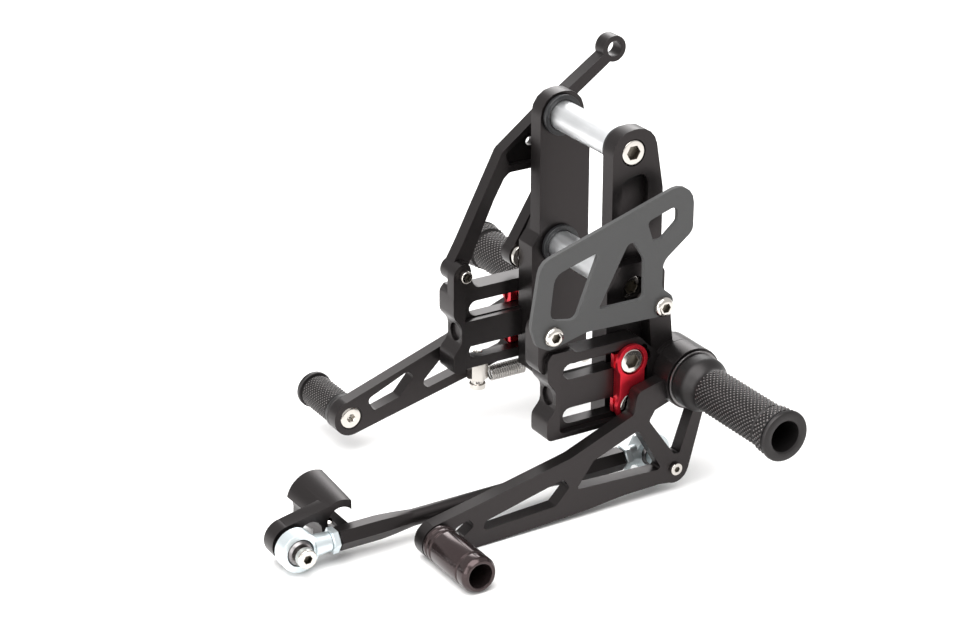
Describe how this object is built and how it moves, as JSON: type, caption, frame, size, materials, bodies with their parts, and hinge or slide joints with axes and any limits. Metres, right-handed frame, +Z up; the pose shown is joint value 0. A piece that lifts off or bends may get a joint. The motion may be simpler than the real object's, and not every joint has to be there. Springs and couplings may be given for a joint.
{
  "type": "foot peg",
  "caption": "Pair of motorcycle rear-set foot controls: black plates, red clamps, knurled pegs, a shift lever with rod and arm, a brake lever and a heel guard.",
  "frame": {"origin": "middle of the footprint on the floor, under the gap between the two sides", "axes": "+X to the rear of the motorcycle, +Y to its right (the brake side), +Z up; the shift side is at -Y"},
  "size_m": [0.2512, 0.2852, 0.2074],
  "materials": {
    "black_anodised": "black-brown satin anodised aluminium",
    "red_anodised": "red anodised aluminium",
    "carbon": "matt grey carbon fibre laminate",
    "aluminium": "polished aluminium",
    "stainless": "bright stainless steel",
    "zinc": "pale bluish zinc plate",
    "bronze": "plain bronze bush"
  },
  "bodies": {
    "adapters": {"left_adapter_plate": "black_anodised", "left_upper_collar": "black_anodised", "left_lower_collar": "black_anodised", "left_upper_frame_bolt": "stainless", "left_lower_frame_bolt": "stainless", "left_clamp_bar": "red_anodised", "left_clamp_bolt_upper": "stainless", "left_clamp_bolt_lower": "stainless", "right_adapter_plate": "black_anodised", "right_upper_collar": "black_anodised", "right_lower_collar": "black_anodised", "right_upper_frame_bolt": "stainless", "right_lower_frame_bolt": "stainless", "right_clamp_bar": "red_anodised", "right_clamp_bolt_upper": "stainless", "right_clamp_bolt_lower": "stainless", "upper_spacer_tube": "aluminium", "lower_spacer_tube": "aluminium"},
    "left_carriage": {"left_slide_plate": "black_anodised", "heel_guard": "carbon", "guard_screw_front": "stainless", "guard_screw_rear": "stainless", "left_peg": "black_anodised", "left_peg_bolt": "stainless", "left_peg_ring": "stainless", "left_lever_bush": "bronze"},
    "right_carriage": {"right_slide_plate": "black_anodised", "cylinder_bracket": "black_anodised", "bracket_screw": "stainless", "bracket_sleeve": "stainless", "right_peg": "black_anodised", "right_peg_bolt": "stainless", "right_peg_ring": "stainless", "right_lever_bush": "bronze", "spring_post": "stainless", "spring_post_screw": "stainless", "return_spring": "stainless"},
    "shift_lever": {"shift_lever": "black_anodised", "shift_toe_peg": "black_anodised", "shift_toe_screw": "stainless", "shift_link_bolt": "stainless", "shift_link_spacer": "zinc", "rear_ball": "stainless", "shift_link_nut": "zinc"},
    "shift_rod": {"rear_rod_end": "zinc", "rear_jam_nut": "zinc", "shift_rod": "black_anodised", "front_jam_nut": "zinc", "front_rod_end": "zinc"},
    "shift_arm": {"front_ball": "stainless", "shift_arm": "black_anodised", "arm_link_bolt": "stainless", "arm_set_screw": "stainless"},
    "brake_lever": {"brake_lever": "black_anodised", "brake_toe_peg": "black_anodised", "brake_toe_screw": "stainless", "brake_link_pin": "stainless", "spring_pin": "stainless"}
  },
  "joints": [
    {"name": "left_slide", "type": "slide", "parent": "adapters", "child": "left_carriage", "axis": [1, 0, 0], "range_m": [0, 0.02]},
    {"name": "right_slide", "type": "slide", "parent": "adapters", "child": "right_carriage", "axis": [1, 0, 0], "range_m": [0, 0.02]},
    {"name": "shift_lever_pivot", "type": "hinge", "parent": "left_carriage", "child": "shift_lever", "pos_m": [0.09555, -0.0593, 0.0626], "axis": [0, 1, 0], "range_deg": [-10, 10]},
    {"name": "shift_rod_pivot", "type": "hinge", "parent": "shift_lever", "child": "shift_rod", "pos_m": [0.08815, -0.0396, 0.013], "axis": [0, 1, 0], "range_deg": [-12, 6]},
    {"name": "shift_arm_pivot", "type": "hinge", "parent": "shift_rod", "child": "shift_arm", "pos_m": [-0.11525, -0.0396, 0.0123], "axis": [0, 1, 0], "range_deg": [-60, 60]},
    {"name": "brake_lever_pivot", "type": "hinge", "parent": "right_carriage", "child": "brake_lever", "pos_m": [0.09555, 0.0593, 0.0626], "axis": [0, -1, 0], "range_deg": [0, 12], "stiffness_Nm_per_rad": 2.5, "springref_deg": -8.59, "deforming": ["return_spring"]}
  ]
}
